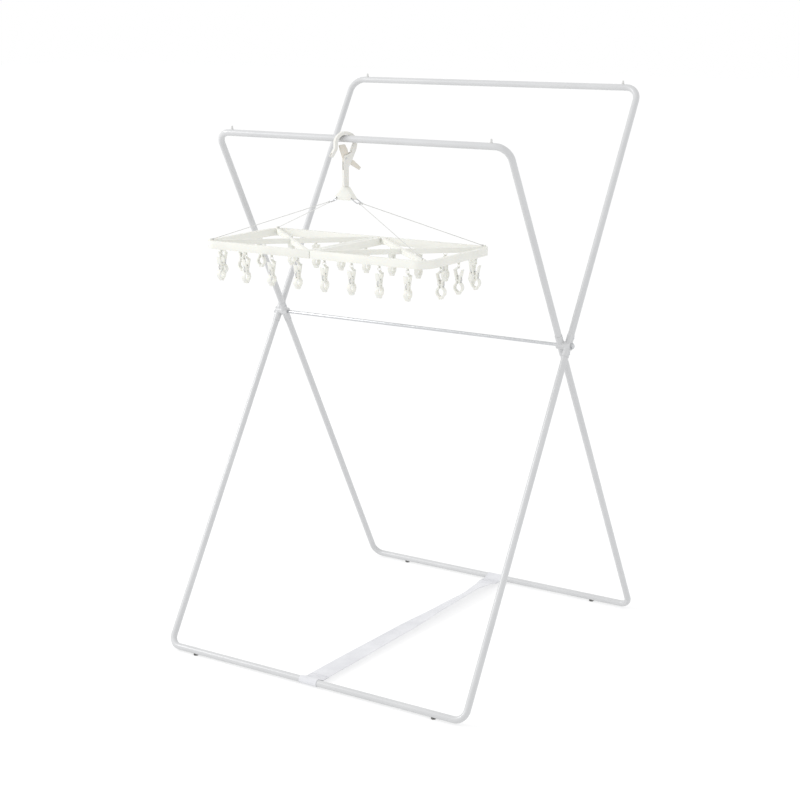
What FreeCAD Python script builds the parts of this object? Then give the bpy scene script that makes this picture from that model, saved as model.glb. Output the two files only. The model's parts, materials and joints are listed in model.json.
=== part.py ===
"""Folding clothes drying stand with a clip hanger on its front rail.

Two closed tube frames cross like an X and turn on one axle.  The outer frame
leans back and the inner frame leans forward.  A strap between the two floor
rails stops the frames from spreading.  A clip hanger hangs on the front rail.

Millimetres, +Z up, +X to the right, -Y to the front.  The origin is on the
floor, under the middle of the stand.
"""
import FreeCAD, Part
import math
import os

V = FreeCAD.Vector

# ---------------------------------------------------------------- stand
TUBE_R = 8.0              # steel tube, 16 mm outside
TUBE_WALL = 1.0
TOP_BEND_R = 34.0         # bend radii of the tube's centreline
FLOOR_BEND_R = 27.0
OUTER_WIDTH = 850.0       # between the centrelines of the outer legs
RAIL_Z = 11.0             # height of the floor rails' centrelines
AXLE_RISE = 773.0         # from the floor rails up to the axle
OUTER_LOWER = 900.0       # leg lengths, measured from the axle
OUTER_UPPER = 682.0
INNER_LOWER = 878.0
INNER_UPPER = 548.0

# ---------------------------------------------------------------- axle
SLEEVE_R = 9.0            # coupling sleeves that join upper and lower tubes
SLEEVE_HALF = 28.0
SLEEVE_WEB = 9.0          # half length of the solid middle of a sleeve
BOSS_R = 10.0
WASHER_THICK = 1.0
AXLE_R = 4.0
AXLE_THREAD_R = 3.0
RUNNING_GAP = 0.05
NUT_R = 7.5               # over the corners of the hexagon
NUT_TALL = 4.5
DOME_R = 5.6
SCREW_R = 2.0
SCREW_HEAD_R = 3.4
SCREW_DOME_R = 4.2
SCREW_PROUD = 1.4
SCREW_AT = 20.0           # distance of the tube screws from the axle

# ---------------------------------------------------------------- small parts
STOP_IN = 44.0            # rail stops and feet, inwards from the leg centrelines
STOP_R = 2.6
STOP_TALL = 9.0
FRONT_FOOT_IN = 80.0
REAR_FOOT_IN = 112.0
FOOT_R = 6.0
STRAP_W = 50.0
STRAP_THICK = 1.2
STRAP_SEWN = 26.0         # sewn double length behind each rail loop

# ---------------------------------------------------------------- clip hanger
HOOK_X = -28.0            # where the hanger hangs along the front rail
HOOK_SKEW = -35.0         # the swivelling hook stands this far off square
HOOK_THICK = 13.0
LEVER_THICK = 8.0
ARCH_R = 20.0             # inside of the hook's arch
ARCH_WALL = 7.5
ARCH_DROP = 10.6          # arch centre below the rail's centreline
STEM_HALF = 6.0
STEM_BOTTOM = -111.0      # heights on the hanger are measured from the rail
LEVER_PIVOT = (0.0, -45.0)
PIN_R = 2.0
SPRING_FLOOR = -72.0      # bottom of the hook's slot, where the lever's spring stands
SWIVEL_R = 3.0
BASE_TOP = STEM_BOTTOM - 0.3
PIN_HEAD_TOP = BASE_TOP - 14.0
BASE_BOTTOM = -142.0
BASE_HALF = 26.0
BASE_THICK = 14.0
FRAME_TOP = -244.0        # top face of the clip frame
FRAME_HALF_X = 315.0
FRAME_HALF_Y = 145.0
BAR_W = 12.0
BAR_TALL = 18.0
BRACE_W = 8.0
BRACE_TALL = 12.0
CORNER_R = 36.0
HINGE_GAP = 1.0
STRING_R = 1.0
POST_R = 3.0
POST_TALL = 4.0

# ---------------------------------------------------------------- clips
CLIP_PITCH = 75.0
LONG_ROW = 8
SHORT_ROW = 3
CLIP_W = 10.0             # width of a jaw along its pivot
RING_R = 4.5
RING_WIRE = 0.8
EYE_R = 1.6
EAR_THICK = 3.0
TIP_DROP = 33.0           # jaw tips below the pivot
PIVOT_DROP = 28.0         # clip's pivot below its hanging eye
JAW_GAP = 0.15            # half of the gap between the closed jaws
SPRING_R = 8.6
LOOP_R = 12.0             # round opening between the jaws
LOOP_WALL = 3.0
LOOP_DROP = 17.0          # its centre below the pivot
SPRING_WIRE = 0.9

# ---------------------------------------------------------------- worked out
AXLE_Z = RAIL_Z + AXLE_RISE
OUTER_RUN = math.sqrt(OUTER_LOWER ** 2 - AXLE_RISE ** 2)
INNER_RUN = math.sqrt(INNER_LOWER ** 2 - AXLE_RISE ** 2)
FRONT_Y = -(OUTER_RUN + INNER_RUN) / 2.0
BACK_Y = -FRONT_Y
AXLE_Y = FRONT_Y + OUTER_RUN
SLEEVE_PITCH = 2.0 * SLEEVE_R + WASHER_THICK
INNER_WIDTH = OUTER_WIDTH - 2.0 * SLEEVE_PITCH
OUTER_UP = V(0, OUTER_RUN / OUTER_LOWER, AXLE_RISE / OUTER_LOWER)
INNER_UP = V(0, -INNER_RUN / INNER_LOWER, AXLE_RISE / INNER_LOWER)
AXLE = V(0, AXLE_Y, AXLE_Z)
FRONT_RAIL = AXLE + INNER_UP * INNER_UPPER
REAR_RAIL = AXLE + OUTER_UP * OUTER_UPPER
SIDES = (("left", -1.0), ("right", 1.0))
CLIP_TOP = FRAME_TOP - BAR_TALL - 4.0      # centre of the ear holes under the frame
EYE_Z = CLIP_TOP - 2.0 * RING_R


# ---------------------------------------------------------------- helpers
def rod(start, end, radius):
    """Round bar between two points."""
    run = end - start
    return Part.makeCylinder(radius, run.Length, start, run)


def block(low, high):
    """Box between two corners."""
    size = high - low
    return Part.makeBox(size.x, size.y, size.z, low)


def fuse(shapes):
    """One solid from touching shapes."""
    whole = shapes[0]
    for shape in shapes[1:]:
        whole = whole.fuse(shape)
    return whole.removeSplitter()


def cut(shape, tools):
    """A shape less each tool."""
    for tool in tools:
        shape = shape.cut(tool)
    return shape


def group(shapes):
    """Several separate solids in one node."""
    return Part.makeCompound(shapes)


def prism(points, push):
    """Closed polygon pushed into a solid."""
    wire = Part.makePolygon(list(points) + [points[0]])
    return Part.Face(wire).extrude(push)


def save(name, shape):
    """Write one node."""
    shape.exportStep("parts/" + name + ".step")


# ---------------------------------------------------------------- tube frames
def bent_tube(half_width, up, end, start, bend):
    """U-shaped tube in a leg plane: legs from start to the cross rail at end."""
    sign = 1.0 if end > 0 else -1.0

    def at(x, along):
        return V(x, AXLE.y, AXLE.z) + up * along

    turn = end - sign * bend
    mid = bend * math.sqrt(0.5)
    edges = [
        Part.LineSegment(at(-half_width, start), at(-half_width, turn)).toShape(),
        Part.Arc(at(-half_width, turn),
                 at(-half_width + bend - mid, turn + sign * mid),
                 at(-half_width + bend, end)).toShape(),
        Part.LineSegment(at(-half_width + bend, end), at(half_width - bend, end)).toShape(),
        Part.Arc(at(half_width - bend, end),
                 at(half_width - bend + mid, turn + sign * mid),
                 at(half_width, turn)).toShape(),
        Part.LineSegment(at(half_width, turn), at(half_width, start)).toShape(),
    ]
    path = Part.Wire(edges)
    solids = []
    for radius in (TUBE_R, TUBE_R - TUBE_WALL):
        ring = Part.Wire(Part.makeCircle(radius, at(-half_width, start), up))
        solids.append(path.makePipeShell([ring], True, False))
    return solids[0].cut(solids[1])


def sleeve(x, up, bore):
    """Coupling sleeve on a leg at the axle, with a flat-faced boss for the axle."""
    centre = V(x, AXLE.y, AXLE.z)
    body = rod(centre - up * SLEEVE_HALF, centre + up * SLEEVE_HALF, SLEEVE_R)
    boss = rod(centre - V(SLEEVE_R, 0, 0), centre + V(SLEEVE_R, 0, 0), BOSS_R)
    tools = [
        rod(centre + up * SLEEVE_WEB, centre + up * (SLEEVE_HALF + 1), TUBE_R),
        rod(centre - up * SLEEVE_WEB, centre - up * (SLEEVE_HALF + 1), TUBE_R),
        rod(centre - V(2 * SLEEVE_R, 0, 0), centre + V(2 * SLEEVE_R, 0, 0), bore),
    ]
    return cut(fuse([body, boss]), tools)


def sleeve_screw(x, up, along, outwards):
    """Domed cross-head screw that holds a tube end in its sleeve."""
    seat = V(x, AXLE.y, AXLE.z) + up * along
    out = V(outwards, 0, 0)
    top = SLEEVE_R + SCREW_PROUD
    head = rod(seat + out * (SLEEVE_R - 0.6), seat + out * top, SCREW_HEAD_R)
    head = head.common(Part.makeSphere(SCREW_DOME_R, seat + out * (top - SCREW_DOME_R)))
    shank = rod(seat + out * (TUBE_R - 4.0), seat + out * SLEEVE_R, SCREW_R)
    screw = fuse([head, shank])
    recess_long, recess_wide, recess_deep = 1.9, 0.4, 1.0
    for y, z in ((recess_long, recess_wide), (recess_wide, recess_long)):
        ends = sorted((seat.x + outwards * (top - recess_deep), seat.x + outwards * (top + 1)))
        screw = screw.cut(block(V(ends[0], seat.y - y, seat.z - z), V(ends[1], seat.y + y, seat.z + z)))
    return screw


def screw_sets(x_half, up, outwards):
    """The four screws of one frame."""
    screws = []
    for _, side in SIDES:
        for along in (-SCREW_AT, SCREW_AT):
            screws.append(sleeve_screw(side * x_half, up, along, side * outwards))
    return screws


def rail_stop(x, rail):
    """Small upright stud near the end of a top rail, pressed into the tube."""
    top = TUBE_R + STOP_TALL
    stem = rod(rail + V(x, 0, TUBE_R - 3.5), rail + V(x, 0, TUBE_R), STOP_R - 0.8)
    stud = rod(rail + V(x, 0, TUBE_R - 1.5), rail + V(x, 0, top - STOP_R), STOP_R)
    dome = Part.makeSphere(STOP_R, rail + V(x, 0, top - STOP_R))
    collar = rod(rail + V(x, 0, TUBE_R - 1.5), rail + V(x, 0, TUBE_R + 1.2), STOP_R + 1.0)
    bar = rod(rail + V(x - 20, 0, 0), rail + V(x + 20, 0, 0), TUBE_R)
    return fuse([cut(fuse([stud, dome, collar]), [bar]), stem])


def glide(x, y):
    """Rubber glide under a floor rail, with its stem pressed into the tube."""
    pad = fuse([Part.makeCone(FOOT_R - 0.8, FOOT_R, 0.8, V(x, y, 0)),
                rod(V(x, y, 0.8), V(x, y, 6.5), FOOT_R)])
    bar = rod(V(x - 20, y, RAIL_Z), V(x + 20, y, RAIL_Z), TUBE_R)
    stem = rod(V(x, y, 2.0), V(x, y, RAIL_Z - TUBE_R + 3.5), STOP_R)
    return fuse([pad.cut(bar), stem])


def strap_loop(y):
    """Webbing loop round a floor rail."""
    left = V(-STRAP_W / 2, y, RAIL_Z)
    right = V(STRAP_W / 2, y, RAIL_Z)
    return rod(left, right, TUBE_R + STRAP_THICK).cut(rod(left, right, TUBE_R))


def make_outer_frame():
    """The frame that leans back, with the axle and its own small parts."""
    half = OUTER_WIDTH / 2
    stops = {name: rail_stop(side * (half - STOP_IN), REAR_RAIL) for name, side in SIDES}
    feet = {name: glide(side * (half - FRONT_FOOT_IN), FRONT_Y) for name, side in SIDES}
    screws = screw_sets(half, OUTER_UP, 1.0)
    upper = bent_tube(half, OUTER_UP, OUTER_UPPER, SLEEVE_WEB, TOP_BEND_R)
    lower = bent_tube(half, OUTER_UP, -OUTER_LOWER, -SLEEVE_WEB, FLOOR_BEND_R)
    save("outer_upper_tube", cut(upper, screws + list(stops.values())))
    save("outer_lower_tube", cut(lower, screws + list(feet.values())))
    for name, side in SIDES:
        save("outer_sleeve_" + name, cut(sleeve(side * half, OUTER_UP, AXLE_R), screws))
        save("outer_stop_" + name, stops[name])
        save("front_foot_" + name, feet[name])
    save("outer_sleeve_screws", group(screws))
    save("strap_front_loop", strap_loop(FRONT_Y))


def make_inner_frame():
    """The frame that leans forward, between the outer legs."""
    half = INNER_WIDTH / 2
    stops = {name: rail_stop(side * (half - STOP_IN), FRONT_RAIL) for name, side in SIDES}
    feet = {name: glide(side * (half - REAR_FOOT_IN), BACK_Y) for name, side in SIDES}
    screws = screw_sets(half, INNER_UP, -1.0)
    upper = bent_tube(half, INNER_UP, INNER_UPPER, SLEEVE_WEB, TOP_BEND_R)
    lower = bent_tube(half, INNER_UP, -INNER_LOWER, -SLEEVE_WEB, FLOOR_BEND_R)
    bore = AXLE_R + RUNNING_GAP
    save("inner_upper_tube", cut(upper, screws + list(stops.values())))
    save("inner_lower_tube", cut(lower, screws + list(feet.values())))
    for name, side in SIDES:
        save("inner_sleeve_" + name, cut(sleeve(side * half, INNER_UP, bore), screws))
        save("inner_stop_" + name, stops[name])
        save("rear_foot_" + name, feet[name])
        face = side * (half + SLEEVE_R)
        disc = rod(AXLE + V(face, 0, 0), AXLE + V(face + side * WASHER_THICK * 0.95, 0, 0), BOSS_R)
        save("pivot_washer_" + name, disc.cut(rod(AXLE + V(-500, 0, 0), AXLE + V(500, 0, 0), bore)))
    save("inner_sleeve_screws", group(screws))
    save("strap_rear_loop", strap_loop(BACK_Y))


def cap_nut(side):
    """Hexagon cap nut on one end of the axle."""
    face = V(side * (OUTER_WIDTH / 2 + SLEEVE_R), AXLE.y, AXLE.z)
    corners = [V(0, NUT_R * math.cos(math.pi * i / 3), NUT_R * math.sin(math.pi * i / 3)) for i in range(6)]
    body = prism([face + corner for corner in corners], V(side * NUT_TALL, 0, 0))
    dome = Part.makeSphere(DOME_R, face + V(side * 2.4, 0, 0))
    return fuse([body, dome.common(rod(face, face + V(side * 20, 0, 0), NUT_R))])


def make_axle():
    """Rod through all four sleeves, with a cap nut on each threaded end."""
    face = OUTER_WIDTH / 2 + SLEEVE_R
    thread = 5.0
    middle = rod(AXLE - V(face, 0, 0), AXLE + V(face, 0, 0), AXLE_R)
    ends = [rod(AXLE + V(side * face, 0, 0), AXLE + V(side * (face + thread), 0, 0), AXLE_THREAD_R)
            for _, side in SIDES]
    save("axle_rod", fuse([middle] + ends))
    for name, side in SIDES:
        save("axle_nut_" + name, cut(cap_nut(side), ends))


def make_strap():
    """Webbing between the loops, sewn double at both ends."""
    start = FRONT_Y + TUBE_R + STRAP_THICK

    def layer(y, thick):
        return block(V(-STRAP_W / 2, y, RAIL_Z - thick / 2), V(STRAP_W / 2, y + STRAP_SEWN, RAIL_Z + thick / 2))

    band = block(V(-STRAP_W / 2, start, RAIL_Z - STRAP_THICK / 2),
                 V(STRAP_W / 2, -start, RAIL_Z + STRAP_THICK / 2))
    save("strap_webbing", fuse([band, layer(start, 2 * STRAP_THICK), layer(-start - STRAP_SEWN, 2 * STRAP_THICK)]))


# ---------------------------------------------------------------- hook
def hang(point):
    """From heights below the front rail to the row frame."""
    return V(HOOK_X, FRONT_RAIL.y, FRONT_RAIL.z) + point


def skewed(shape):
    """Stand a hook part, drawn square to the rail, at the hook's own angle."""
    shape.translate(hang(V(0, 0, 0)))
    shape.rotate(hang(V(0, 0, 0)), V(0, 0, 1), HOOK_SKEW)
    return shape


def hook_slab(points, thick=HOOK_THICK):
    """Flat hook part from an outline of (back, up) points."""
    corners = [V(-thick / 2, y, z) for y, z in points]
    return prism(corners, V(thick, 0, 0))


def hook_bar(y, z, radius, half_length):
    """Round bar square to the hook's plane."""
    return rod(V(-half_length, y, z), V(half_length, y, z), radius)


def hook_shape():
    """Arch, flared front arm, back arm and stem in one outline, slotted for the lever."""
    half = HOOK_THICK / 2
    outer = ARCH_R + ARCH_WALL
    centre = -ARCH_DROP
    arch = hook_bar(0, centre, outer, half).cut(hook_bar(0, centre, ARCH_R, half + 1))
    arch = arch.cut(block(V(-half - 1, -60, -60), V(half + 1, 60, centre)))
    front_arm = hook_slab([(-outer, centre), (-ARCH_R, centre), (-ARCH_R - 1, -24), (-ARCH_R - 8, -36),
                           (-ARCH_R - 13, -43), (-ARCH_R - 18, -40), (-ARCH_R - 13.5, -32), (-outer, -21)])
    back_arm = hook_slab([(ARCH_R, centre), (outer, centre), (outer - 2, -23), (STEM_HALF + 10, -46),
                          (STEM_HALF, -66), (STEM_HALF, STEM_BOTTOM), (-STEM_HALF, STEM_BOTTOM),
                          (-STEM_HALF, -39), (STEM_HALF, -35), (ARCH_R - 7, -31), (ARCH_R - 6, -24)])
    cheeks = LEVER_THICK / 2 + 0.3
    slot = block(V(-cheeks, -40, SPRING_FLOOR), V(cheeks, 18, -32))
    bore = hook_bar(*LEVER_PIVOT, PIN_R, half + 1)
    swivel_hole = rod(V(0, 0, STEM_BOTTOM - 1), V(0, 0, STEM_BOTTOM + 10), SWIVEL_R)
    return cut(fuse([arch, front_arm, back_arm]), [slot, bore, swivel_hole])


def make_hook():
    """Open hook, the pin it swivels on, and the sprung lever that closes its mouth."""
    save("hook_body", skewed(hook_shape()))

    blade = hook_slab([(-15, -15), (-2, -13), (4, -24), (8, -38), (9, -44), (20, -51), (37, -67), (33, -73),
                       (14, -61), (6, -56), (-4, -56), (-6, -50), (-9, -38), (-13, -26)], LEVER_THICK)
    bore = hook_bar(*LEVER_PIVOT, PIN_R + RUNNING_GAP, LEVER_THICK)
    save("hook_lever", skewed(blade.cut(bore)))
    save("lever_pin", skewed(hook_bar(*LEVER_PIVOT, PIN_R, HOOK_THICK / 2 + 0.6)))

    low, high = V(0, 1, SPRING_FLOOR), V(0, 1, -56.2)
    save("lever_spring", skewed(rod(low, high, 3.2).cut(rod(low, high, 2.2))))

    pin = rod(V(0, 0, PIN_HEAD_TOP), V(0, 0, STEM_BOTTOM + 10), SWIVEL_R)
    head = rod(V(0, 0, PIN_HEAD_TOP - 3.0), V(0, 0, PIN_HEAD_TOP), SWIVEL_R + 2.0)
    save("swivel_pin", skewed(fuse([pin, head])))


# ---------------------------------------------------------------- hanger frame
def make_base():
    """Wedge-shaped block under the hook that the strings spread from, hollow for the pin's head."""
    neck = 7.0
    shoulder = BASE_BOTTOM + 7
    outline = [(-neck, BASE_TOP), (neck, BASE_TOP), (BASE_HALF, shoulder), (BASE_HALF, BASE_BOTTOM + 2),
               (BASE_HALF - 12, BASE_BOTTOM), (12 - BASE_HALF, BASE_BOTTOM), (-BASE_HALF, BASE_BOTTOM + 2),
               (-BASE_HALF, shoulder)]
    y = BASE_THICK / 2
    body = prism([hang(V(x, -y, z)) for x, z in outline], V(0, 2 * y, 0))
    bore = rod(hang(V(0, 0, PIN_HEAD_TOP - 1)), hang(V(0, 0, BASE_TOP + 1)), SWIVEL_R + RUNNING_GAP)
    well = rod(hang(V(0, 0, BASE_BOTTOM - 1)), hang(V(0, 0, PIN_HEAD_TOP + 0.1)), SWIVEL_R + 2.5)
    eyes = [rod(hang(V(side * (BASE_HALF - 5), -y - 1, BASE_BOTTOM + 5)),
                hang(V(side * (BASE_HALF - 5), y + 1, BASE_BOTTOM + 5)), 1.8) for _, side in SIDES]
    save("hanger_base", cut(body, [bore, well] + eyes))


def string_end(side):
    """Outer bar of the link that two strings leave from."""
    return hang(V(side * (BASE_HALF + 12), 0, BASE_BOTTOM - 5))


def string_link(side):
    """Wire link: a pin through the base's end, two arms and an outer bar."""
    wire_r = 1.4
    near = hang(V(side * (BASE_HALF - 5), 0, BASE_BOTTOM + 5))
    far = string_end(side)
    reach = V(0, BASE_THICK / 2 + 2.0, 0)
    pieces = []
    for a, b in ((near - reach, near + reach), (far - reach, far + reach),
                 (near - reach, far - reach), (near + reach, far + reach)):
        pieces.append(rod(a, b, wire_r))
    for corner in (near - reach, near + reach, far - reach, far + reach):
        pieces.append(Part.makeSphere(wire_r, corner))
    return fuse(pieces)


def make_links_and_strings():
    """Two links from the base's ends, and four strings to the frame's corners."""
    for name, side in SIDES:
        link = string_link(side)
        save("string_link_" + name, link)
        for row, depth in (("front", -1.0), ("back", 1.0)):
            post = corner_post(side, depth)
            line = rod(string_end(side) + V(0, depth * 3.0, 0), post.CenterOfMass, STRING_R)
            save("string_%s_%s" % (row, name), cut(line, [link, post]))


def corner_post(side, depth):
    """Eyelet post on top of a frame corner, where a string ends."""
    inwards = CORNER_R - (CORNER_R - BAR_W / 2) * math.sqrt(0.5)
    foot = hang(V(side * (FRAME_HALF_X - inwards), depth * (FRAME_HALF_Y - inwards), FRAME_TOP))
    return rod(foot, foot + V(0, 0, POST_TALL), POST_R)


def frame_bar(start, end, width, tall):
    """Straight flat-sided bar between two points in the frame's top face."""
    run = V(end[0] - start[0], end[1] - start[1], 0)
    side = V(-run.y, run.x, 0).normalize() * (width / 2)
    a = hang(V(start[0], start[1], FRAME_TOP))
    b = hang(V(end[0], end[1], FRAME_TOP))
    return prism([a - side, b - side, b + side, a + side], V(0, 0, -tall))


def rounded_plate(x_in, x_out, half_y, radius):
    """Solid plate of half the frame, rounded at its outer corners."""
    low = hang(V(min(x_in, x_out), -half_y, FRAME_TOP - BAR_TALL))
    high = hang(V(max(x_in, x_out), half_y, FRAME_TOP))
    plate = block(low, high)
    outer_x = hang(V(x_out, 0, 0)).x
    edges = [edge for edge in plate.Edges
             if abs(edge.BoundBox.XLength) < 1e-6 and abs(edge.BoundBox.YLength) < 1e-6
             and abs(edge.CenterOfMass.x - outer_x) < 1e-3]
    return plate.makeFillet(radius, edges)


def make_frame_halves():
    """Two rectangles with crossed braces, joined by pins along the middle."""
    knuckle_r = 5.0
    knuckle_z = FRAME_TOP - knuckle_r
    pin_spans = ((-FRAME_HALF_Y + 14, -FRAME_HALF_Y + 44), (FRAME_HALF_Y - 44, FRAME_HALF_Y - 14))
    pins = [rod(hang(V(0, a, knuckle_z)), hang(V(0, b, knuckle_z)), PIN_R) for a, b in pin_spans]
    save("frame_hinge_pins", group(pins))
    for name, side in SIDES:
        x_in = side * HINGE_GAP
        x_out = side * FRAME_HALF_X
        plate = rounded_plate(x_in, x_out, FRAME_HALF_Y, CORNER_R)
        hollow = rounded_plate(x_in + side * BAR_W, x_out - side * BAR_W, FRAME_HALF_Y - BAR_W, CORNER_R - BAR_W)
        pieces = [plate.cut(hollow)]
        x_a = x_in + side * BAR_W * 0.7
        x_b = x_out - side * BAR_W * 1.2
        y_a = FRAME_HALF_Y - BAR_W * 0.7
        y_b = FRAME_HALF_Y - BAR_W * 1.2
        for flip in (-1.0, 1.0):
            pieces.append(frame_bar((x_a, -flip * y_a), (x_b, flip * y_b), BRACE_W, BRACE_TALL))
        knuckles = []
        gaps = []
        for a, b in pin_spans:
            thirds = [a + (b - a) * i / 3.0 for i in range(4)]
            for i in range(3):
                mine = (i == 1) == (side > 0)
                lo = thirds[i] + (0.15 if mine else 0.0)
                hi = thirds[i + 1] - (0.15 if mine else 0.0)
                barrel = rod(hang(V(0, lo, knuckle_z)), hang(V(0, hi, knuckle_z)), knuckle_r)
                if mine:
                    lug = block(hang(V(min(0, side * 7), lo, knuckle_z - knuckle_r)),
                                hang(V(max(0, side * 7), hi, FRAME_TOP)))
                    knuckles.append(fuse([barrel, lug]))
                else:
                    gaps.append(rod(hang(V(0, lo, knuckle_z)), hang(V(0, hi, knuckle_z)), knuckle_r + 0.4))
                    gaps.append(block(hang(V(-knuckle_r - 0.4, lo, FRAME_TOP - knuckle_r)),
                                      hang(V(knuckle_r + 0.4, hi, FRAME_TOP + 1))))
        body = cut(fuse(pieces), gaps)
        body = fuse([body] + knuckles)
        body = cut(body, pins)
        posts = [corner_post(side, depth) for depth in (-1.0, 1.0)]
        ears = [clip_ear(spot) for spots in clip_rows().values() for spot in spots if spot[0] * side > 0]
        save("clip_frame_" + name, fuse([body] + posts + ears))


# ---------------------------------------------------------------- clips
def clip_rows():
    """Places of the clips: (x, y, across), where across points out of the frame."""
    y = FRAME_HALF_Y - BAR_W / 2
    x = FRAME_HALF_X - BAR_W / 2
    long_x = [(i - (LONG_ROW - 1) / 2.0) * CLIP_PITCH for i in range(LONG_ROW)]
    short_y = [(i - (SHORT_ROW - 1) / 2.0) * CLIP_PITCH for i in range(SHORT_ROW)]
    return {
        "front": [(spot, -y, V(0, -1, 0)) for spot in long_x],
        "back": [(spot, y, V(0, 1, 0)) for spot in long_x],
        "left": [(-x, spot, V(-1, 0, 0)) for spot in short_y],
        "right": [(x, spot, V(1, 0, 0)) for spot in short_y],
    }


def clip_point(spot, out, up, along=0.0):
    """Point of a clip: out of the frame, up from the rail, along its pivot."""
    x, y, across = spot
    bar = V(-across.y, across.x, 0)
    return hang(V(x, y, up)) + across * out + bar * along


def clip_slab(spot, outline, width):
    """Flat clip part from an outline of (out, up) points."""
    corners = [clip_point(spot, out, up, -width / 2) for out, up in outline]
    return prism(corners, clip_point(spot, 0, 0, width / 2) - clip_point(spot, 0, 0, -width / 2))


def clip_bar(spot, out, up, radius, width):
    """Round clip part along the pivot."""
    return rod(clip_point(spot, out, up, -width / 2), clip_point(spot, out, up, width / 2), radius)


def clip_ear(spot):
    """Pierced ear under the frame that a clip's ring hangs from."""
    top = FRAME_TOP - BAR_TALL + 2.0
    ear = clip_slab(spot, [(-3, top), (3, top), (3, CLIP_TOP), (-3, CLIP_TOP)], EAR_THICK)
    ear = fuse([ear, clip_bar(spot, 0, CLIP_TOP, 3.0, EAR_THICK)])
    return ear.cut(clip_bar(spot, 0, CLIP_TOP, EYE_R, EAR_THICK + 2))


def clip_ring(spot):
    """Wire ring from the frame's ear to the clip's eye."""
    return Part.makeTorus(RING_R, RING_WIRE, clip_point(spot, 0, CLIP_TOP - RING_R), spot[2])


def jaw_outline(side):
    """One jaw from its gripping tip, round the loop and the waist, to its finger tab."""
    pivot = EYE_Z - PIVOT_DROP

    def loop(radius, first, last):
        """Points round the opening, by angle from level."""
        steps = [math.radians(first + (last - first) * i / 7.0) for i in range(8)]
        return [(radius * math.cos(a), pivot - LOOP_DROP + radius * math.sin(a)) for a in steps]

    waist = JAW_GAP + 2.0
    inner = [(JAW_GAP, pivot - TIP_DROP), (JAW_GAP, pivot - TIP_DROP + 5.5)]
    inner += loop(LOOP_R - LOOP_WALL, -70.0, 68.0)
    inner += [(waist, pivot - 3.2), (waist, pivot + 3.4), (8.6, pivot + 24)]
    outer = [(11.6, pivot + 24), (7.0, pivot + 6), (5.4, pivot + 1), (5.2, pivot - 4)]
    outer += loop(LOOP_R, 60.0, -62.0)
    outer += [(3.2, pivot - TIP_DROP)]
    return [(side * out, up) for out, up in inner + outer]


def fixed_jaw(spot):
    """Jaw on the inner side, hung by its eye, with the rib that the other jaw rocks on."""
    pivot = EYE_Z - PIVOT_DROP
    jaw = clip_slab(spot, jaw_outline(-1.0), CLIP_W)
    ear = clip_slab(spot, [(-11.4, pivot + 20), (-8.8, pivot + 20), (-1.6, EYE_Z - 2.6), (2.6, EYE_Z - 1.5),
                           (2.6, EYE_Z + 1.5), (0, EYE_Z + 3), (-3, EYE_Z + 2.6), (-11.4, pivot + 24)], EAR_THICK)
    rib = clip_bar(spot, -0.1, pivot, 2.0, CLIP_W)
    eye = clip_bar(spot, 0, EYE_Z, EYE_R, EAR_THICK + 2)
    return cut(fuse([jaw, rib, ear]), [eye, spring_groove(spot)])


def moving_jaw(spot):
    """Jaw on the outer side, with a hollow round the rib."""
    pivot = EYE_Z - PIVOT_DROP
    jaw = clip_slab(spot, jaw_outline(1.0), CLIP_W)
    return cut(jaw, [clip_bar(spot, -0.1, pivot, 2.3, CLIP_W + 2), spring_groove(spot)])


def spring_loop(spot, wire_r):
    """Full ring round a clip at its rib."""
    centre = clip_point(spot, 0, EYE_Z - PIVOT_DROP + 1.0)
    return Part.makeTorus(SPRING_R, wire_r, centre, V(-spot[2].y, spot[2].x, 0))


def spring_groove(spot):
    """Channel through a jaw that the spring lies in."""
    return spring_loop(spot, SPRING_WIRE + 0.3)


def clip_spring(spot):
    """Open wire loop that squeezes the jaws together below the rib."""
    pivot = EYE_Z - PIVOT_DROP
    keep = clip_slab(spot, [(-12, pivot - 6.0), (12, pivot - 6.0), (12, pivot + 14), (-12, pivot + 14)], 4.0)
    return spring_loop(spot, SPRING_WIRE).common(keep)


def make_clips():
    """Rings, jaws and springs, one node of each per row."""
    for name, spots in clip_rows().items():
        save("clip_rings_" + name, group([clip_ring(spot) for spot in spots]))
        save("fixed_jaws_" + name, group([fixed_jaw(spot) for spot in spots]))
        save("moving_jaws_" + name, group([moving_jaw(spot) for spot in spots]))
        save("clip_springs_" + name, group([clip_spring(spot) for spot in spots]))


os.makedirs("parts", exist_ok=True)
make_outer_frame()
make_inner_frame()
make_axle()
make_strap()
make_hook()
make_base()
make_links_and_strings()
make_frame_halves()
make_clips()
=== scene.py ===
import json
import math

import bmesh
import bpy
from mathutils import Matrix, Vector

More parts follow.
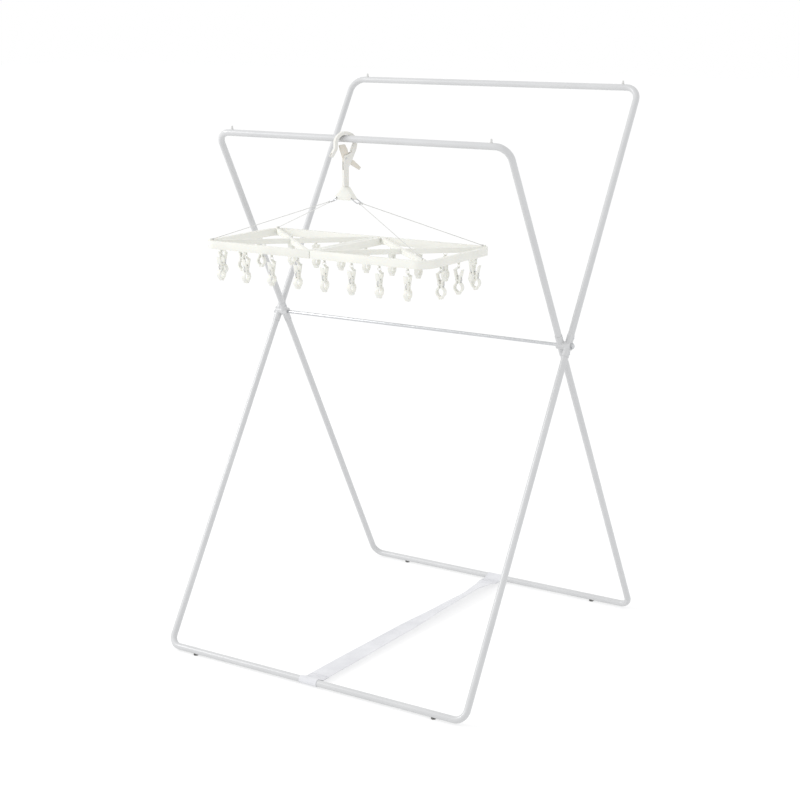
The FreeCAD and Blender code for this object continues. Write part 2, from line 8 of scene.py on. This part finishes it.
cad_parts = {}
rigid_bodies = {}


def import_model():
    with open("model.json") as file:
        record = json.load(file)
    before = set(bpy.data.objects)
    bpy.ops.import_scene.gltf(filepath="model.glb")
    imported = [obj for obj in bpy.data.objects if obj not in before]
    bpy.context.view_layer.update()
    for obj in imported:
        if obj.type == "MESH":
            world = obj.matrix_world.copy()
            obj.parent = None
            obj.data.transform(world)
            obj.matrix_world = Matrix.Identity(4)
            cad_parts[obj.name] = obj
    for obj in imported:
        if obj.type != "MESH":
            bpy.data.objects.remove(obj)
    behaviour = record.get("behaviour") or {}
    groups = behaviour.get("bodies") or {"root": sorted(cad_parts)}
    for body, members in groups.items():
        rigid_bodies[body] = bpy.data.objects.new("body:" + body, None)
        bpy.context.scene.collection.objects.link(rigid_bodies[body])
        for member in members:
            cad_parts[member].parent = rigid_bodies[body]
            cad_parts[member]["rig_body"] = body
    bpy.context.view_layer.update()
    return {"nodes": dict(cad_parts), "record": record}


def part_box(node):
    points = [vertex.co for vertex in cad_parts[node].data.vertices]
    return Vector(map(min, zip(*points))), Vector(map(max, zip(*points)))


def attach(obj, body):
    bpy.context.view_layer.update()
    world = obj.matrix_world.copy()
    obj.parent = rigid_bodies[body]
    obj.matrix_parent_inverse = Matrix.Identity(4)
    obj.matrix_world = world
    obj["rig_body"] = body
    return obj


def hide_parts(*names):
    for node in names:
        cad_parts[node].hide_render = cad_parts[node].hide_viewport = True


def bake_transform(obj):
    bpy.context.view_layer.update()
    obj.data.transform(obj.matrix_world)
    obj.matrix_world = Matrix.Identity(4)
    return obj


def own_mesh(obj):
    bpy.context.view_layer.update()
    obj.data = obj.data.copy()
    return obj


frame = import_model()
MM = 0.001

# ---------------------------------------------------------------- places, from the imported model
HANGER_SIDES = (("left", -1.0), ("right", 1.0))
ROWS = ("front", "back", "left", "right")


def middle(node):
    """Centre of a CAD node's box."""
    low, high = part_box(node)
    return (low + high) / 2


FRONT_RAIL = middle("strap_front_loop")
REAR_RAIL = middle("strap_rear_loop")
STRAP_HALF = (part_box("strap_webbing")[1].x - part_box("strap_webbing")[0].x) / 2


# ---------------------------------------------------------------- materials
class Finish:
    """One procedural material, built up a node at a time."""

    def __init__(self, name, roughness, metallic=0.0):
        self.mat = bpy.data.materials.new(name)
        self.mat.use_nodes = True
        self.tree = self.mat.node_tree
        self.shader = self.tree.nodes["Principled BSDF"]
        self.shader.inputs["Roughness"].default_value = roughness
        self.shader.inputs["Metallic"].default_value = metallic
        self.place = self.add("ShaderNodeTexCoord").outputs["Object"]
        self.height = None

    def add(self, kind, **values):
        """New node with its unlinked inputs or properties set."""
        node = self.tree.nodes.new(kind)
        for key, value in values.items():
            if hasattr(node, key):
                setattr(node, key, value)
            else:
                node.inputs[key.replace("_", " ")].default_value = value
        return node

    def link(self, out, into):
        self.tree.links.new(out, into)

    def noise(self, scale, detail=3.0, roughness=0.5):
        """Noise value over the piece."""
        node = self.add("ShaderNodeTexNoise", Scale=scale, Detail=detail, Roughness=roughness)
        self.link(self.place, node.inputs["Vector"])
        return node.outputs["Fac"]

    def cells(self, scale):
        """Distance to the nearest grain over the piece."""
        node = self.add("ShaderNodeTexVoronoi", Scale=scale)
        self.link(self.place, node.inputs["Vector"])
        return node.outputs["Distance"]

    def spread(self, value, low, high, first=0.3, last=0.7):
        """Value mapped onto a range."""
        node = self.add("ShaderNodeMapRange")
        for name, number in (("From Min", first), ("From Max", last), ("To Min", low), ("To Max", high)):
            node.inputs[name].default_value = number
        self.link(value, node.inputs["Value"])
        return node.outputs["Result"]

    def tint(self, value, low, high, first=0.3, last=0.7):
        """Base colour that runs between two colours."""
        ramp = self.add("ShaderNodeValToRGB")
        ramp.color_ramp.elements[0].position = first
        ramp.color_ramp.elements[1].position = last
        ramp.color_ramp.elements[0].color = (*low, 1.0)
        ramp.color_ramp.elements[1].color = (*high, 1.0)
        self.link(value, ramp.inputs["Fac"])
        self.link(ramp.outputs["Color"], self.shader.inputs["Base Color"])

    def rough(self, value, low, high):
        """Roughness that runs between two values."""
        self.link(self.spread(value, low, high), self.shader.inputs["Roughness"])

    def sine(self, value, length):
        """Wave of one wavelength along a coordinate, from -1 to 1."""
        turns = self.add("ShaderNodeMath", operation="MULTIPLY")
        turns.inputs[1].default_value = 2.0 * math.pi / length
        self.link(value, turns.inputs[0])
        wave = self.add("ShaderNodeMath", operation="SINE")
        self.link(turns.outputs[0], wave.inputs[0])
        return wave.outputs[0]

    def combine(self, operation, a, b):
        """Two values through one maths node."""
        node = self.add("ShaderNodeMath", operation=operation)
        for index, item in enumerate((a, b)):
            if isinstance(item, float):
                node.inputs[index].default_value = item
            else:
                self.link(item, node.inputs[index])
        return node.outputs[0]

    def axes(self):
        """The piece's own X, Y and Z."""
        node = self.add("ShaderNodeSeparateXYZ")
        self.link(self.place, node.inputs[0])
        return node.outputs

    def bump(self, value, depth, strength=0.5):
        """Fine relief, added over any relief before it."""
        node = self.add("ShaderNodeBump")
        node.inputs["Strength"].default_value = strength
        node.inputs["Distance"].default_value = depth
        self.link(value, node.inputs["Height"])
        if self.height is not None:
            self.link(self.height, node.inputs["Normal"])
        self.height = node.outputs["Normal"]
        self.link(self.height, self.shader.inputs["Normal"])


def enamel():
    """White powder coat: slight orange peel and faint handling marks."""
    f = Finish("white_enamel", 0.34)
    f.tint(f.noise(9.0, 4.0), (0.545, 0.550, 0.558), (0.580, 0.585, 0.592))
    f.rough(f.noise(26.0, 5.0), 0.27, 0.43)
    f.bump(f.noise(1400.0, 2.0), 0.00005, 0.35)
    f.bump(f.noise(60.0, 2.0), 0.0002, 0.12)
    f.shader.inputs["Coat Weight"].default_value = 0.25
    f.shader.inputs["Coat Roughness"].default_value = 0.18
    return f.mat


def ivory(name, low, high):
    """Moulded ivory plastic: fine spark texture and soft flow marks."""
    f = Finish(name, 0.45)
    f.tint(f.noise(14.0, 4.0), low, high)
    f.rough(f.noise(70.0, 4.0), 0.36, 0.54)
    f.bump(f.cells(2600.0), 0.00005, 0.22)
    f.bump(f.noise(90.0, 2.0), 0.0002, 0.10)
    f.shader.inputs["Subsurface Weight"].default_value = 0.06
    f.shader.inputs["Subsurface Radius"].default_value = (0.004, 0.003, 0.002)
    return f.mat


def steel():
    """Zinc-plated steel: faint spangle and drawn-wire streaks."""
    f = Finish("zinc_steel", 0.32, 1.0)
    f.tint(f.cells(420.0), (0.50, 0.51, 0.53), (0.64, 0.65, 0.66), 0.1, 0.8)
    f.rough(f.noise(240.0, 4.0), 0.24, 0.42)
    f.bump(f.noise(900.0, 3.0), 0.00003, 0.4)
    return f.mat


def nylon():
    """White moulded nylon: matte, with a fine grain."""
    f = Finish("white_nylon", 0.55)
    f.tint(f.noise(60.0, 3.0), (0.60, 0.60, 0.59), (0.66, 0.66, 0.65))
    f.rough(f.noise(200.0, 3.0), 0.48, 0.62)
    f.bump(f.cells(2200.0), 0.00006, 0.3)
    return f.mat


def rubber():
    """Dark rubber: dusty in places, with a matte grain."""
    f = Finish("dark_rubber", 0.75)
    f.tint(f.noise(300.0, 5.0), (0.075, 0.075, 0.073), (0.135, 0.133, 0.128))
    f.rough(f.noise(500.0, 3.0), 0.62, 0.86)
    f.bump(f.cells(1800.0), 0.0001, 0.35)
    return f.mat


def webbing():
    """Woven polyester webbing: ribs across the strap over a plain weave."""
    f = Finish("webbing", 0.78)
    across, along, _ = f.axes()
    rib = f.sine(along, 0.0022)
    end = f.sine(across, 0.0016)
    weave = f.combine("MULTIPLY", rib, end)
    fuzz = f.noise(1500.0, 3.0)
    mixed = f.combine("ADD", f.combine("MULTIPLY", weave, 0.12), f.noise(18.0, 4.0))
    f.tint(mixed, (0.635, 0.64, 0.668), (0.715, 0.72, 0.745), 0.32, 0.68)
    f.bump(rib, 0.00016, 0.5)
    f.bump(weave, 0.00014, 0.6)
    f.bump(fuzz, 0.00008, 0.4)
    f.rough(fuzz, 0.70, 0.88)
    f.shader.inputs["Sheen Weight"].default_value = 0.25
    f.shader.inputs["Sheen Roughness"].default_value = 0.5
    return f.mat


def cotton(name, low, high):
    """Twisted thread: fine fibres over each strand."""
    f = Finish(name, 0.82)
    f.tint(f.noise(700.0, 4.0), low, high)
    f.bump(f.noise(5000.0, 3.0), 0.00006, 0.6)
    f.rough(f.noise(900.0, 3.0), 0.74, 0.90)
    f.shader.inputs["Sheen Weight"].default_value = 0.2
    return f.mat


def floor_paint():
    """Pale studio floor that glows a little, so shadows on it stay light."""
    f = Finish("studio_floor", 0.9)
    f.tint(f.noise(0.8, 3.0), (0.395, 0.395, 0.397), (0.405, 0.405, 0.407))
    f.shader.inputs["Specular IOR Level"].default_value = 0.05
    f.shader.inputs["Emission Color"].default_value = (1.0, 1.0, 1.0, 1.0)
    f.shader.inputs["Emission Strength"].default_value = 0.60
    return f.mat


LOOKS = {
    "white_enamel": enamel(),
    "zinc_steel": steel(),
    "white_nylon": nylon(),
    "dark_rubber": rubber(),
    "webbing": webbing(),
    "white_cord": cotton("white_cord", (0.58, 0.58, 0.57), (0.68, 0.68, 0.66)),
    # amber_plastic: its darker, warmer tan than the hook is painted shade from inside the hook's arch
    "amber_plastic": ivory("amber_plastic", (0.63, 0.595, 0.53), (0.69, 0.655, 0.585)),
    "hook_plastic": ivory("hook_plastic", (0.68, 0.674, 0.638), (0.73, 0.722, 0.686)),
    "ivory_plastic": ivory("ivory_plastic", (0.735, 0.735, 0.690), (0.785, 0.785, 0.738)),
}
THREAD = cotton("stitch_thread", (0.50, 0.50, 0.53), (0.62, 0.62, 0.64))


# ---------------------------------------------------------------- mesh helpers
def paint(obj, look):
    """One material all over a piece."""
    obj.data.materials.clear()
    obj.data.materials.append(look)
    return obj


def smooth(mesh, angle=38.0):
    """Smooth faces, with creases kept where faces meet sharply."""
    limit = math.radians(angle)
    work = bmesh.new()
    work.from_mesh(mesh)
    for face in work.faces:
        face.smooth = True
    for edge in work.edges:
        edge.smooth = len(edge.link_faces) == 2 and edge.calc_face_angle(0.0) < limit
    work.to_mesh(mesh)
    work.free()


def add_mesh(name, verts, faces, look):
    """New piece from lists."""
    mesh = bpy.data.meshes.new(name)
    mesh.from_pydata([tuple(v) for v in verts], [], faces)
    mesh.validate()
    work = bmesh.new()
    work.from_mesh(mesh)
    bmesh.ops.recalc_face_normals(work, faces=work.faces)
    work.to_mesh(mesh)
    work.free()
    obj = bpy.data.objects.new(name, mesh)
    bpy.context.scene.collection.objects.link(obj)
    smooth(mesh)
    return paint(obj, look)


def sweep(rings, verts, faces, closed_ends=True):
    """Joins rings of points into a tube, added to the lists."""
    base = len(verts)
    count = len(rings[0])
    for ring in rings:
        verts.extend(ring)
    for row in range(len(rings) - 1):
        for k in range(count):
            a = base + row * count + k
            b = base + row * count + (k + 1) % count
            faces.append((a, b, b + count, a + count))
    if closed_ends:
        faces.append(tuple(base + k for k in reversed(range(count))))
        faces.append(tuple(base + (len(rings) - 1) * count + k for k in range(count)))


def tube_rings(points, radius, sides=8):
    """Rings round a line of points, turned as little as possible from one to the next."""
    rings = []
    side = None
    for i, point in enumerate(points):
        ahead = points[min(i + 1, len(points) - 1)] - points[max(i - 1, 0)]
        ahead.normalize()
        if side is None:
            side = ahead.orthogonal().normalized()
        side = (side - ahead * side.dot(ahead)).normalized()
        other = ahead.cross(side)
        turn = [2.0 * math.pi * k / sides for k in range(sides)]
        rings.append([point + (side * math.cos(t) + other * math.sin(t)) * radius for t in turn])
    return rings


def finish_piece(obj, body, slot_name, *nodes):
    """Rides a body and stands for its CAD nodes; slot_name is not used."""
    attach(obj, body)
    if nodes:
        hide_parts(*nodes)
    return obj


def rounded(node, width, segments=2, angle=32.0):
    """Copy of a CAD node with its sharp edges rounded, which stands for the node."""
    source = frame["nodes"][node]
    mesh = source.data.copy()
    work = bmesh.new()
    work.from_mesh(mesh)
    bmesh.ops.remove_doubles(work, verts=work.verts, dist=1e-6)
    bmesh.ops.dissolve_limit(work, angle_limit=math.radians(1.0), verts=work.verts, edges=work.edges)
    work.to_mesh(mesh)
    work.free()
    obj = bpy.data.objects.new(node + "_moulded", mesh)
    bpy.context.scene.collection.objects.link(obj)
    bevel = obj.modifiers.new("edges", "BEVEL")
    bevel.width = width
    bevel.segments = segments
    bevel.limit_method = "ANGLE"
    bevel.angle_limit = math.radians(angle)
    bevel.use_clamp_overlap = True
    depsgraph = bpy.context.evaluated_depsgraph_get()
    final = bpy.data.meshes.new_from_object(obj.evaluated_get(depsgraph))
    obj.modifiers.clear()
    obj.data = final
    smooth(final, 50.0)
    slot_name = SLOTS[node]
    paint(obj, LOOKS[slot_name])
    return finish_piece(obj, source["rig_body"], slot_name, node)


# ---------------------------------------------------------------- finishes on the CAD nodes
SLOTS = {part["node"]: part["material_slot"] for part in frame["record"]["subparts"]}
for cad_name, cad_node in frame["nodes"].items():
    paint(cad_node, LOOKS[SLOTS[cad_name]])

ROUNDED = {"hook_body": 0.0011, "hook_lever": 0.0007, "hanger_base": 0.0011,
           "clip_frame_left": 0.0013, "clip_frame_right": 0.0013}
for row in ROWS:
    ROUNDED["fixed_jaws_" + row] = 0.0005
    ROUNDED["moving_jaws_" + row] = 0.0005
for cad_name, edge_width in ROUNDED.items():
    rounded(cad_name, edge_width)


# ---------------------------------------------------------------- floor strap
STRAP_THICK = 1.2 * MM
RAIL_R = 8.0 * MM
JOIN = 21.0 * MM              # where the loop's two sides meet, from the rail's centre
TAIL = 46.0 * MM              # where the sewn tail ends


def strap_line():
    """Centreline of the strap as (y, z), round both rails, with both tails underneath."""
    reach = RAIL_R + STRAP_THICK / 2 + 0.05 * MM
    tangent = math.degrees(math.acos(reach / JOIN))
    steps = [tangent + (360.0 - 2.0 * tangent) * i / 18.0 for i in range(19)]
    round_rail = [(math.cos(math.radians(-a)), math.sin(math.radians(-a))) for a in steps]
    low = -1.25 * STRAP_THICK
    middle_y = (TAIL + JOIN) / 2
    line = [(TAIL, low), (middle_y, low), (JOIN + 1.5 * MM, low * 0.95), (JOIN - 4 * MM, low - 0.8 * MM)]
    line += [(reach * c, reach * s) for c, s in round_rail]
    line += [(JOIN - 4 * MM, 1.6 * MM), (JOIN + 1.5 * MM, 0.2 * MM), (middle_y, 0.0)]
    near = [(FRONT_RAIL.y + y, FRONT_RAIL.z + z) for y, z in line]
    far = [(REAR_RAIL.y - y, REAR_RAIL.z + z) for y, z in line]
    first, last = near[-1][0], far[-1][0]
    count = 96
    band = [(first + (last - first) * i / count, FRONT_RAIL.z) for i in range(1, count)]
    return near + band + list(reversed(far))


def strap_twist(share):
    """Turn of the band about its own length, in degrees, and its lift in metres."""
    keys = [(0.0, 0.0), (0.10, 0.0), (0.45, 6.0), (0.72, 20.0), (0.88, 25.0), (0.96, 14.0), (1.0, 0.0)]
    for (a, low), (b, high) in zip(keys, keys[1:]):
        if share <= b:
            t = (share - a) / (b - a)
            t = t * t * (3 - 2 * t)
            turn = low + (high - low) * t
            return turn, abs(math.sin(math.radians(turn))) * 3.5 * MM
    return 0.0, 0.0


def strap_section():
    """Outline of the webbing as (across, through), with a thicker woven edge."""
    half, thick = STRAP_HALF, STRAP_THICK / 2
    upper = [(-half, thick * 0.4), (-half + 0.5 * MM, thick * 1.15), (-half + 1.8 * MM, thick)]
    upper += [(half * k / 4.0, thick) for k in range(-3, 4)]
    upper += [(half - 1.8 * MM, thick), (half - 0.5 * MM, thick * 1.15), (half, thick * 0.4)]
    return upper + [(x, -z) for x, z in reversed(upper)]


def make_strap():
    """The webbing as one ribbon round both rails, twisted between the two frames."""
    line = strap_line()
    section = strap_section()
    start = FRONT_RAIL.y + TAIL
    span = REAR_RAIL.y - TAIL - start
    rings = []
    for i, (y, z) in enumerate(line):
        before = line[max(i - 1, 0)]
        after = line[min(i + 1, len(line) - 1)]
        ahead = Vector((0.0, after[0] - before[0], after[1] - before[1])).normalized()
        turn, lift = strap_twist(min(max((y - start) / span, 0.0), 1.0))
        inside = start < y < start + span
        angle = math.radians(turn) if inside else 0.0
        across = Matrix.Rotation(-angle, 3, ahead) @ Vector((1.0, 0.0, 0.0))
        through = across.cross(ahead)
        centre = Vector((0.0, y, z + (lift if inside else 0.0)))
        rings.append([centre + across * u + through * v for u, v in section])
    verts, faces = [], []
    sweep(rings, verts, faces)
    strap = add_mesh("strap", verts, faces, LOOKS["webbing"])
    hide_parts("strap_webbing", "strap_front_loop", "strap_rear_loop")
    start = FRONT_RAIL + Vector((0.0, TAIL + 2.0 * MM, 0.0))
    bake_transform(strap)


def stitch(verts, faces, start, end):
    """One sewn stitch: a short thread that dips at both ends."""
    up = Vector((0.0, 0.0, 0.22 * MM))
    points = [start - up, start.lerp(end, 0.15) + up * 0.4, start.lerp(end, 0.5) + up,
              start.lerp(end, 0.85) + up * 0.4, end - up]
    sweep(tube_rings(points, 0.26 * MM, 6), verts, faces)


def sewn_line(verts, faces, start, end):
    """Row of stitches between two points."""
    pitch = 3.0 * MM
    count = max(1, round((end - start).length / pitch))
    for i in range(count):
        a = start.lerp(end, (i + 0.12) / count)
        b = start.lerp(end, (i + 0.88) / count)
        stitch(verts, faces, a, b)


def make_stitching(name, rail, towards, body):
    """Sewn box with a cross in it, on top of and under a strap end."""
    half = STRAP_HALF - 4.0 * MM
    near = rail.y + towards * (JOIN + 3.0 * MM)
    far = rail.y + towards * (TAIL - 2.5 * MM)
    verts, faces = [], []
    for z in (rail.z + STRAP_THICK * 0.52, rail.z - STRAP_THICK * 1.78):
        corners = [Vector((x, y, z)) for x, y in ((-half, near), (half, near), (half, far), (-half, far))]
        for i in range(4):
            sewn_line(verts, faces, corners[i], corners[(i + 1) % 4])
        sewn_line(verts, faces, corners[0], corners[2])
        sewn_line(verts, faces, corners[1], corners[3])
    finish_piece(add_mesh(name, verts, faces, THREAD), body, "webbing")


# ---------------------------------------------------------------- strings
STRING_R = 1.0 * MM
STRING_LAY = 5.5 * MM         # length of one turn of the strands
KNOT_SIZE = 2.2 * MM
KNOT_R = 0.75 * MM


def string_ends(row, side_name):
    """Top and bottom end of a CAD string, from its box."""
    low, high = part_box("string_%s_%s" % (row, side_name))
    left = side_name == "left"
    front = row == "front"
    top = Vector((high.x if left else low.x, high.y if front else low.y, high.z))
    bottom = Vector((low.x if left else high.x, low.y if front else high.y, low.z))
    return top, bottom


def twisted(verts, faces, start, end, radius, lay):
    """Three strands laid round each other between two points."""
    run = end - start
    count = int(run.length / lay * 9)
    ahead = run.normalized()
    side = ahead.orthogonal().normalized()
    other = ahead.cross(side)
    for strand in range(3):
        points = []
        for i in range(count + 1):
            turn = 2.0 * math.pi * (i / 9.0 + strand / 3.0)
            offset = (side * math.cos(turn) + other * math.sin(turn)) * radius * 0.5
            points.append(start.lerp(end, i / count) + offset)
        sweep(tube_rings(points, radius * 0.5, 6), verts, faces)


def knot(verts, faces, centre, ahead, size, radius):
    """Overhand knot with its long way along the string."""
    spin = ahead.to_track_quat("Z", "Y").to_matrix()
    points = []
    for i in range(49):
        t = 2.0 * math.pi * i / 48.0
        spot = Vector((math.sin(t) + 2.0 * math.sin(2.0 * t), math.cos(t) - 2.0 * math.cos(2.0 * t),
                       -math.sin(3.0 * t) * 1.5))
        points.append(centre + spin @ (spot * (size / 3.0)))
    sweep(tube_rings(points, radius, 8), verts, faces)


def make_strings():
    """Four laid strings, knotted at the links and at the frame's corners."""
    for side_name, side in HANGER_SIDES:
        for row in ("front", "back"):
            top, bottom = string_ends(row, side_name)
            ahead = (bottom - top).normalized()
            verts, faces = [], []
            twisted(verts, faces, top, bottom, STRING_R, STRING_LAY)
            knot(verts, faces, top + ahead * 6.0 * MM, ahead, KNOT_SIZE, KNOT_R)
            knot(verts, faces, bottom - ahead * 4.0 * MM, ahead, KNOT_SIZE, KNOT_R)
            name = "cord_%s_%s" % (row, side_name)
            cord = add_mesh(name, verts, faces, LOOKS["white_cord"])
            finish_piece(cord, "hanger", "white_cord", "string_%s_%s" % (row, side_name))


# ---------------------------------------------------------------- lever's spring
def make_lever_spring():
    """Coil with closed ends that stands in the hook's slot."""
    low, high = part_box("lever_spring")
    spot = middle("lever_spring")
    wire = 0.45 * MM
    radius = 2.7 * MM
    turns = 6.5
    steps = int(turns * 20)
    points = []
    for i in range(steps + 1):
        share = i / steps
        eased = min(max((share - 0.13) / 0.74, 0.0), 1.0)
        height = low.z + wire + (high.z - low.z - 2.0 * wire) * (eased * 0.84 + share * 0.16)
        turn = 2.0 * math.pi * turns * share
        points.append(Vector((spot.x + radius * math.cos(turn), spot.y + radius * math.sin(turn), height)))
    verts, faces = [], []
    sweep(tube_rings(points, wire, 8), verts, faces)
    coil = add_mesh("lever_coil", verts, faces, LOOKS["zinc_steel"])
    finish_piece(coil, "hook", "zinc_steel", "lever_spring")
    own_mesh(coil)


make_strap()
make_lever_spring()
make_stitching("strap_stitching_front", FRONT_RAIL, 1.0, "outer_frame")
make_stitching("strap_stitching_rear", REAR_RAIL, -1.0, "inner_frame")
make_strings()


# ---------------------------------------------------------------- studio
def make_floor():
    """Wide pale floor that isn't part of the object."""
    half = 30.0
    corners = [(-half, -half, 0.0), (half, -half, 0.0), (half, half, 0.0), (-half, half, 0.0)]
    add_mesh("studio_floor", corners, [(0, 1, 2, 3)], floor_paint())


def make_light(name, place, target, size, power):
    """Large soft lamp aimed at a point."""
    data = bpy.data.lights.new(name, "AREA")
    data.shape = "DISK"
    data.size = size
    data.energy = power
    lamp = bpy.data.objects.new(name, data)
    bpy.context.scene.collection.objects.link(lamp)
    lamp.location = place
    lamp.rotation_euler = (Vector(target) - Vector(place)).to_track_quat("-Z", "Y").to_euler()


def make_world():
    """Even white surroundings."""
    world = bpy.data.worlds.new("studio")
    world.use_nodes = True
    world.node_tree.nodes["Background"].inputs["Color"].default_value = (1.0, 1.0, 1.0, 1.0)
    world.node_tree.nodes["Background"].inputs["Strength"].default_value = 1.0
    bpy.context.scene.world = world
    bpy.context.scene.view_settings.view_transform = "Standard"


def make_camera():
    """Camera at the height of a standing person's chest, to the right of the front."""
    data = bpy.data.cameras.new("camera")
    data.sensor_width = 36.0
    data.lens = 76.16
    data.shift_y = -0.075
    camera = bpy.data.objects.new("camera", data)
    bpy.context.scene.collection.objects.link(camera)
    azimuth, elevation = math.radians(33.245), math.radians(11.319)
    back = Vector((math.sin(azimuth) * math.cos(elevation), -math.cos(azimuth) * math.cos(elevation),
                   math.sin(elevation)))
    camera.location = (2.231, -3.453, 1.578)
    camera.rotation_euler = (-back).to_track_quat("-Z", "Y").to_euler()
    bpy.context.scene.camera = camera


make_floor()
make_light("key", (-3.6, -2.4, 2.9), (0.0, 0.0, 0.8), 1.8, 85.0)
make_light("fill", (3.6, -1.4, 2.6), (0.0, 0.0, 0.7), 2.2, 8.0)
make_world()
make_camera()
